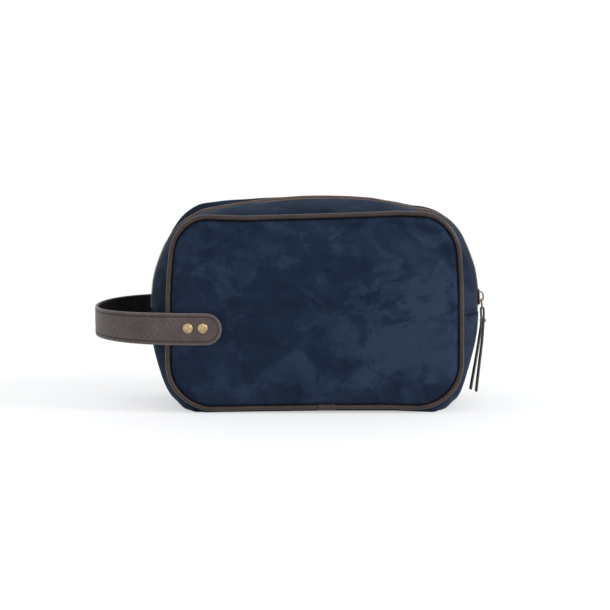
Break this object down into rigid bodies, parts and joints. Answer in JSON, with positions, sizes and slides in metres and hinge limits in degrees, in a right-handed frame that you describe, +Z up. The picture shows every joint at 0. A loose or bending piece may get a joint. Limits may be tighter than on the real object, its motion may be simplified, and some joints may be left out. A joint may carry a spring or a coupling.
{
  "type": "shaving kit bag",
  "caption": "Padded navy suede shaving kit bag with leather piping, a zip round the top, a riveted side handle and a thong zip pull.",
  "frame": {"origin": "middle of the base, on the surface the bag stands on", "axes": "X runs along the bag with the handle on the -X side, Y runs from the front panel at -Y to the rear panel, Z is up"},
  "size_m": [0.3106, 0.1074, 0.165],
  "materials": {
    "navy_suede": "brushed synthetic suede with a short mottled nap",
    "brown_leather": "smooth waxed leather",
    "strap_leather": "crosshatch-grained leather with painted edges",
    "black_backing": "smooth black strap lining",
    "hidden_patch": "unfinished leather",
    "black_lining": "plain woven lining",
    "padding": "foam sheet",
    "filler_cord": "twisted cotton cord",
    "brown_tape": "woven zip tape",
    "zip_teeth": "moulded brown zip teeth",
    "antique_brass": "antique brass plate"
  },
  "bodies": {
    "bag_body": {"front_panel_lower": "navy_suede", "front_foam_lower": "padding", "front_lining_lower": "black_lining", "front_piping_lower": "brown_leather", "front_piping_cord_lower": "filler_cord", "front_piping_join": "brown_leather", "rear_panel_lower": "navy_suede", "rear_foam_lower": "padding", "rear_lining_lower": "black_lining", "rear_piping_lower": "brown_leather", "rear_piping_cord_lower": "filler_cord", "rear_piping_join": "brown_leather", "base_gusset": "navy_suede", "base_lining": "black_lining", "zip_bottom_stop": "antique_brass", "handle_strap": "strap_leather", "handle_backing": "black_backing", "handle_rivets_front": "antique_brass", "handle_rivets_rear": "antique_brass", "handle_rivet_washers_front": "antique_brass", "handle_rivet_washers_rear": "antique_brass", "handle_patch_front": "hidden_patch", "handle_patch_rear": "hidden_patch"},
    "front_half": {"front_panel_upper": "navy_suede", "front_foam_upper": "padding", "front_lining_upper": "black_lining", "front_piping_upper": "brown_leather", "front_piping_cord_upper": "filler_cord", "zip_gusset_front": "navy_suede", "zip_lining_front": "black_lining", "zip_tape_front": "brown_tape", "zip_teeth_front": "zip_teeth", "zip_top_stop_front": "antique_brass"},
    "rear_half": {"rear_panel_upper": "navy_suede", "rear_foam_upper": "padding", "rear_lining_upper": "black_lining", "rear_piping_upper": "brown_leather", "rear_piping_cord_upper": "filler_cord", "zip_gusset_rear": "navy_suede", "zip_lining_rear": "black_lining", "zip_tape_rear": "brown_tape", "zip_teeth_rear": "zip_teeth", "zip_top_stop_rear": "antique_brass"},
    "zip_slider": {"slider_body": "antique_brass", "slider_crown": "antique_brass"},
    "slider_link": {"pull_link": "antique_brass"},
    "slider_thong": {"pull_thong": "brown_leather", "pull_thong_rivet": "antique_brass"}
  },
  "joints": [
    {"name": "front_fold", "type": "hinge", "parent": "bag_body", "child": "front_half", "pos_m": [0, -0.0496, 0.08], "axis": [1, 0, 0], "range_deg": [0, 18]},
    {"name": "rear_fold", "type": "hinge", "parent": "bag_body", "child": "rear_half", "pos_m": [0, 0.0496, 0.08], "axis": [-1, 0, 0], "range_deg": [0, 18]},
    {"name": "slider_run", "type": "hinge", "parent": "rear_half", "child": "zip_slider", "pos_m": [-0.02, 0, 0.078], "axis": [0, -1, 0], "range_deg": [0, 15]},
    {"name": "link_swing", "type": "hinge", "parent": "zip_slider", "child": "slider_link", "pos_m": [0.13261, 0, 0.08292], "axis": [0, -1, 0], "range_deg": [0, 90]},
    {"name": "thong_swing", "type": "hinge", "parent": "slider_link", "child": "slider_thong", "pos_m": [0.13343, 0, 0.07678], "axis": [0, -1, 0], "range_deg": [0, 60]}
  ]
}
